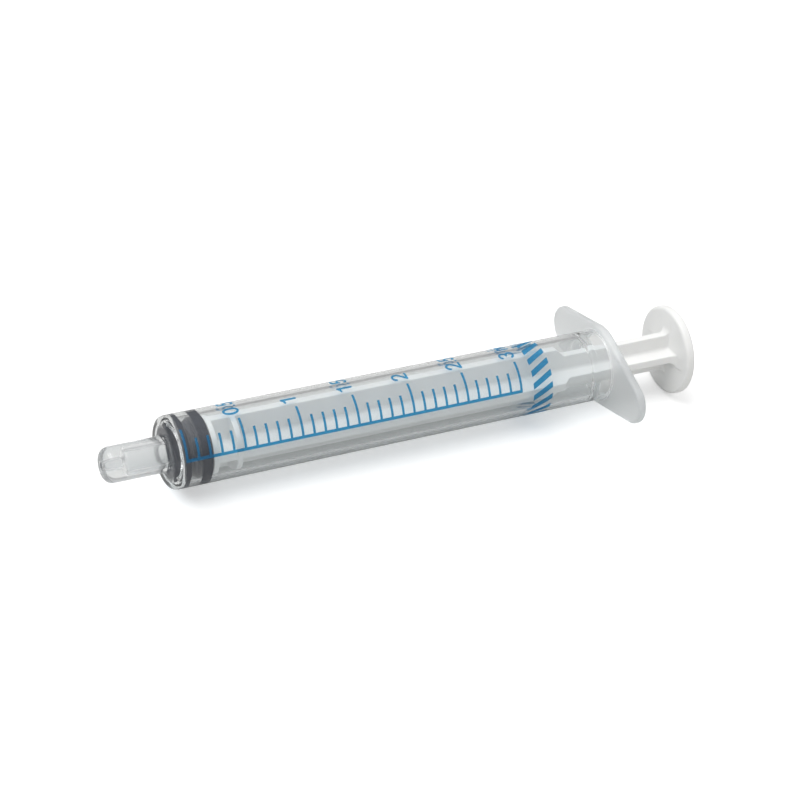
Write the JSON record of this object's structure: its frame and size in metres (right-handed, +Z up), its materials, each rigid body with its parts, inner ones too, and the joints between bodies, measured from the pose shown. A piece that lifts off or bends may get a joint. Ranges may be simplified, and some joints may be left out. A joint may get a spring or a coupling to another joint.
{
  "type": "oral syringe",
  "caption": "Oral dosing syringe: clear round-nosed barrel with finger flange and printed volume scale, rubber piston seal and white cross-ribbed plunger rod with a round thumb disc.",
  "frame": {"origin": "centre of the nozzle's end face, where the fluid bore opens, on the barrel's axis", "axes": "+X along the barrel's axis from the nozzle to the thumb disc, Y along the finger flange's long axis, +Z up as the syringe lies with its flange level"},
  "size_m": [0.0897, 0.0262, 0.0134],
  "materials": {
    "clear_plastic": "clear, very slightly milky polypropylene, frosted on the flange",
    "seal_rubber": "smooth slate-grey moulded rubber",
    "white_plastic": "opaque white polypropylene, satin",
    "blue_ink": "printed ink film"
  },
  "bodies": {
    "barrel": {"barrel": "clear_plastic", "volume_scale": "blue_ink"},
    "seal": {"piston_seal": "seal_rubber"},
    "rod": {"plunger_rod": "white_plastic"}
  },
  "joints": [
    {"name": "plunger_slide", "type": "slide", "parent": "barrel", "child": "seal", "axis": [1, 0, 0], "range_m": [0, 0.0587]},
    {"name": "plunger_spin", "type": "hinge", "parent": "seal", "child": "rod", "pos_m": [0.0125, 0, 0], "axis": [1, 0, 0], "continuous": true}
  ]
}
